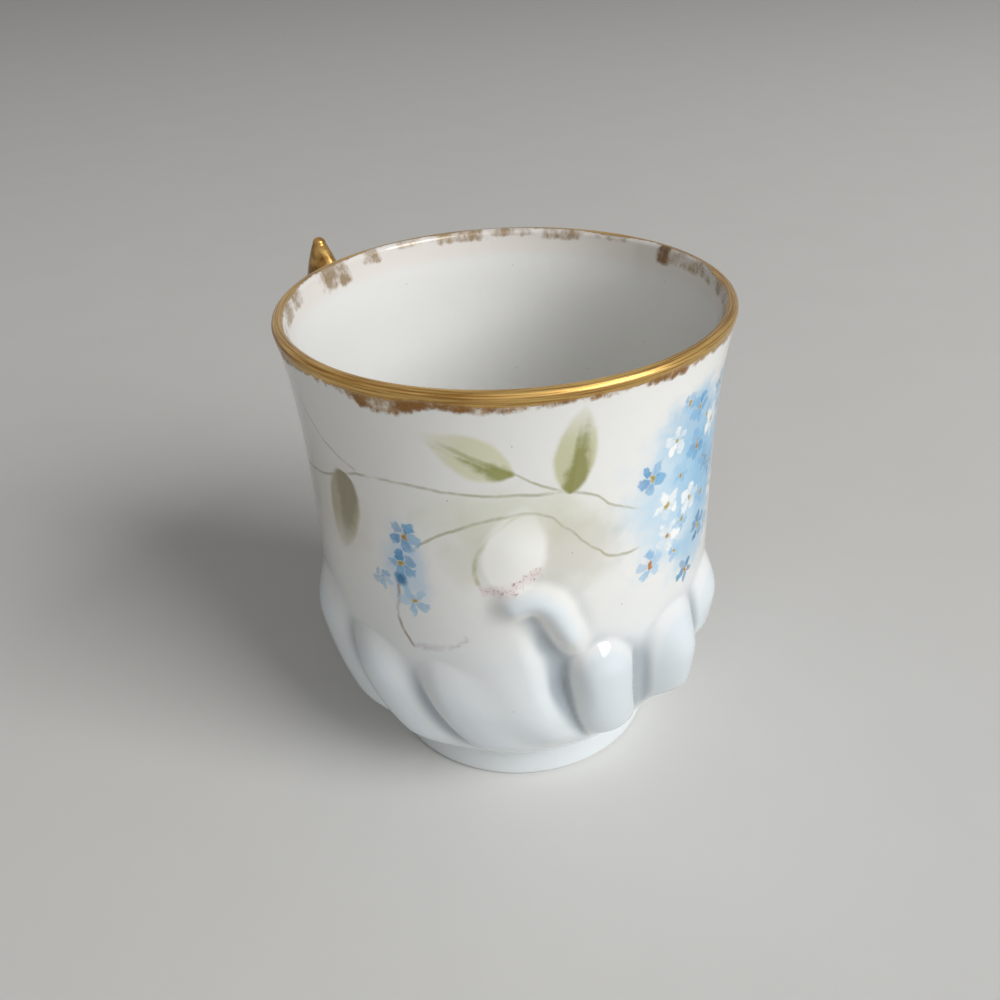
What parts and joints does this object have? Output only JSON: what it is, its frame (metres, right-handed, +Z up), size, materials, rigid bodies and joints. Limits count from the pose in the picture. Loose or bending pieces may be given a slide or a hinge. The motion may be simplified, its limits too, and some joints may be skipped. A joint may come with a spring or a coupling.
{
  "type": "coffee cup",
  "caption": "Small porcelain coffee cup with a flared wall, a moulded base of swirling ribs and scrolls, a gilt lip and a gilt loop handle, for drinking hot coffee.",
  "frame": {"origin": "middle of the object's box in plan, on the plane that the foot ring stands on", "axes": "+Z up along the cup's axis, +X from the cup towards its handle"},
  "size_m": [0.0816, 0.061, 0.0684],
  "materials": {
    "porcelain": "clear gloss glaze over hand painting",
    "gold": "fired gold, brushed on and worn",
    "gilt_porcelain": "fired gold over glaze",
    "fired_slip": "glazed"
  },
  "bodies": {
    "root": {"cup_body": "porcelain", "rim_gilding": "gold", "handle": "gilt_porcelain", "upper_lute": "fired_slip", "lower_lute": "fired_slip"}
  },
  "joints": []
}
